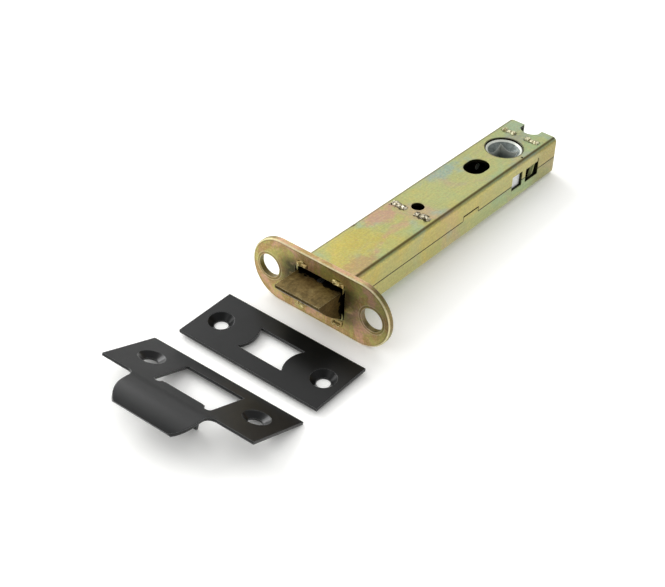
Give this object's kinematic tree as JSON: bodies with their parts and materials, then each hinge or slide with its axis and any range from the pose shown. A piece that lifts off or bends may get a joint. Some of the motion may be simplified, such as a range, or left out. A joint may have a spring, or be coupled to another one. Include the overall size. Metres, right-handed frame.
{
  "type": "tubular door latch",
  "caption": "Tubular door latch with a sprung bevelled bolt, a square follower for the handle spindle, a rounded forend, and its loose face plate and strike plate.",
  "frame": {"origin": "middle of the forend's front face, on the latch's long axis", "axes": "+X along the case to its tail, +Z along the follower's turning axis to the flat side of the bolt, +Y across the case"},
  "size_m": [0.2085, 0.0655, 0.0274],
  "materials": {
    "zinc_yellow_plate": "yellow zinc passivate, brownish, satin",
    "zinc_yellow_case": "yellow zinc passivate, olive gold, satin",
    "zinc_yellow_bolt": "yellow zinc passivate with fine drawn lines",
    "zinc_worn": "hammered tabs, plating rubbed",
    "zinc_bright": "bright zinc",
    "spring_steel": "oiled spring wire",
    "nylon_white": "moulded nylon",
    "black_satin": "satin black powder coat"
  },
  "bodies": {
    "latch": {"forend": "zinc_yellow_plate", "case_top": "zinc_yellow_case", "case_bottom": "zinc_yellow_case", "front_bridge": "zinc_worn", "rear_bridge": "zinc_worn", "return_leaf": "zinc_yellow_case", "lever_spring": "spring_steel", "face_plate": "black_satin", "strike_plate": "black_satin"},
    "follower": {"follower": "zinc_bright"},
    "drawbar": {"drawbar": "zinc_yellow_case", "shoe_left": "nylon_white", "shoe_right": "nylon_white", "bolt_spring_washer": "zinc_bright", "lever_spring_washer": "zinc_bright", "bolt_spring": "spring_steel"},
    "bolt": {"latch_bolt": "zinc_yellow_bolt", "bolt_stem": "zinc_bright", "stem_collar": "zinc_bright", "bolt_pin": "zinc_bright"}
  },
  "joints": [
    {"name": "follower_turn", "type": "hinge", "parent": "latch", "child": "follower", "pos_m": [0.108, 0, 0], "axis": [0, 0, 1], "range_deg": [0, 69.9]},
    {"name": "drawbar_slide", "type": "slide", "parent": "latch", "child": "drawbar", "axis": [1, 0, 0], "range_m": [0, 0.011], "stiffness_N_per_m": 900, "springref_m": -0.012, "deforming": ["lever_spring", "return_leaf"]},
    {"name": "bolt_push", "type": "slide", "parent": "drawbar", "child": "bolt", "axis": [1, 0, 0], "range_m": [0, 0.011], "stiffness_N_per_m": 350, "springref_m": -0.01, "deforming": ["bolt_spring"]}
  ],
  "couplings": [
    {"joint": "follower_turn", "follows": "drawbar_slide", "rad_per_m": 110.9}
  ]
}
